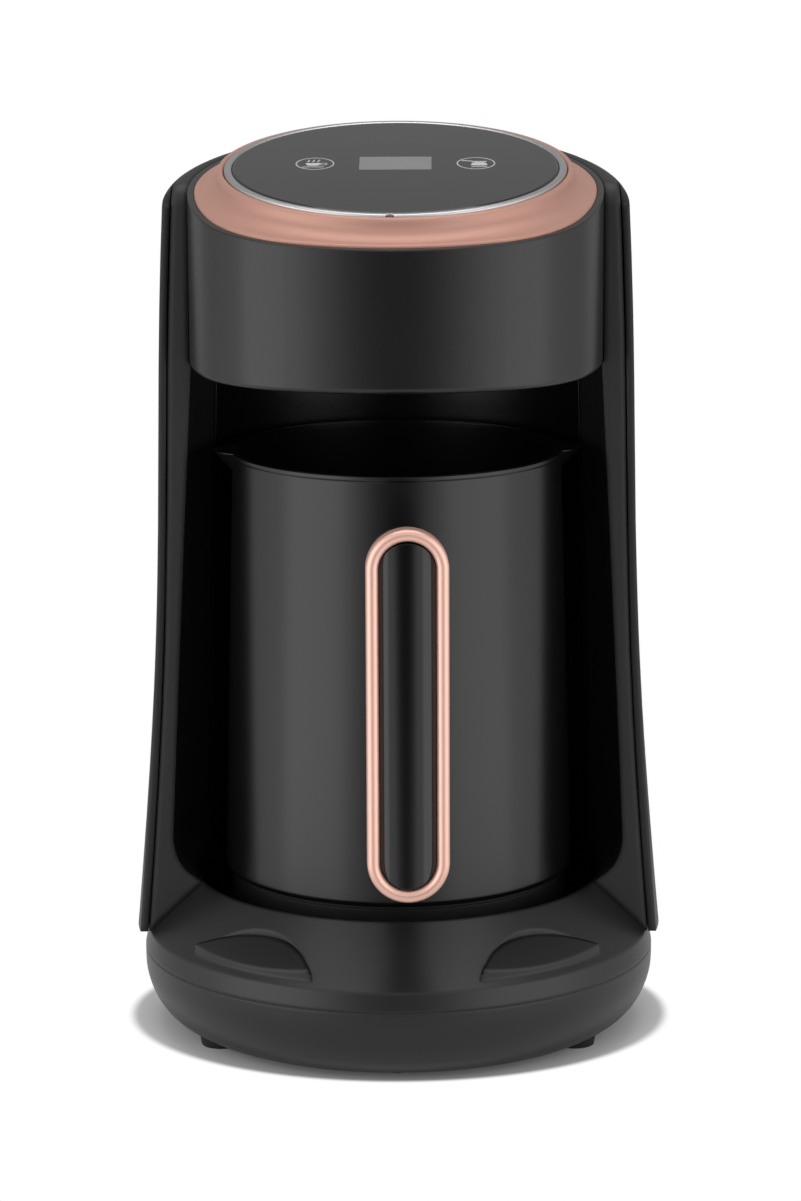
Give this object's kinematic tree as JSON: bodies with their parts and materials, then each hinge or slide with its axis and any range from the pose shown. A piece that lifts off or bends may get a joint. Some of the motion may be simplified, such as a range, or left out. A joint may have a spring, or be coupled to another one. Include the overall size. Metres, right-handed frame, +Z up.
{
  "type": "electric turkish coffee maker",
  "caption": "Round-based electric coffee maker: a column wraps round a lift-out pot with two spouts and a long handle, under a head with a sloped glass touch panel.",
  "frame": {"origin": "on the ground, at the centre of the round base", "axes": "+Z up, +Y to the back, +X to the right of someone facing the machine; the pot's axis is vertical through (0, 0.0075, 0)"},
  "size_m": [0.152, 0.1563, 0.2558],
  "materials": {
    "black_plastic": "satin moulded plastic",
    "grained_black_plastic": "fine-grained moulded plastic",
    "gloss_black_plastic": "glossy moulded plastic",
    "black_coated_steel": "satin coating on thin steel",
    "copper_metallic": "satin metallic lacquer, rose gold",
    "polished_copper": "polished plating, rose gold",
    "bright_trim": "bright trim",
    "smoked_glass": "dark tinted glass",
    "display_grey": "unlit display",
    "black_rubber": "matt",
    "grey_silicone": "matt",
    "zinc_steel": "zinc plated",
    "aluminium": "as rolled",
    "contact_brass": "plain",
    "green_board": "solder resist",
    "blue_plastic": "moulded case",
    "white_plastic": "moulded",
    "grey_ribbon": "flat cable jacket"
  },
  "bodies": {
    "machine": {"base_pan": "black_plastic", "bottom_plate": "black_plastic", "rubber_feet": "black_rubber", "bottom_screws": "zinc_steel", "base_deck": "black_plastic", "connector_socket": "black_plastic", "socket_contact_ring": "contact_brass", "well_seal": "grey_silicone", "column_housing": "black_plastic", "rear_cover": "grained_black_plastic", "bay_liner": "black_plastic", "head_shell": "black_plastic", "ceiling_plate": "black_plastic", "head_top_ring": "copper_metallic", "panel_bezel": "bright_trim", "glass_panel": "smoked_glass", "panel_tray": "black_plastic", "display_module": "display_grey", "touch_springs": "zinc_steel", "control_board": "green_board", "board_screws": "zinc_steel", "buzzer": "black_plastic", "foam_sensor": "green_board", "sensor_lens": "smoked_glass", "power_board": "green_board", "relay": "blue_plastic", "transformer": "zinc_steel", "capacitor": "blue_plastic", "terminal_block": "white_plastic", "cord_gland": "black_rubber", "ribbon_cable": "grey_ribbon"},
    "pot": {"pot_shell": "black_coated_steel", "pot_skirt": "black_plastic", "pot_seal": "grey_silicone", "pot_base_cover": "black_plastic", "pot_base_screws": "zinc_steel", "heater_plate": "aluminium", "heater_element": "zinc_steel", "thermostat": "zinc_steel", "pot_connector": "black_plastic", "handle_core": "black_plastic", "handle_brackets": "zinc_steel", "handle_screws": "zinc_steel", "handle_trim": "polished_copper", "handle_insert": "gloss_black_plastic"}
  },
  "joints": [
    {"name": "pot_lift", "type": "slide", "parent": "machine", "child": "pot", "axis": [0, 0, 1], "range_m": [0, 0.022]}
  ]
}
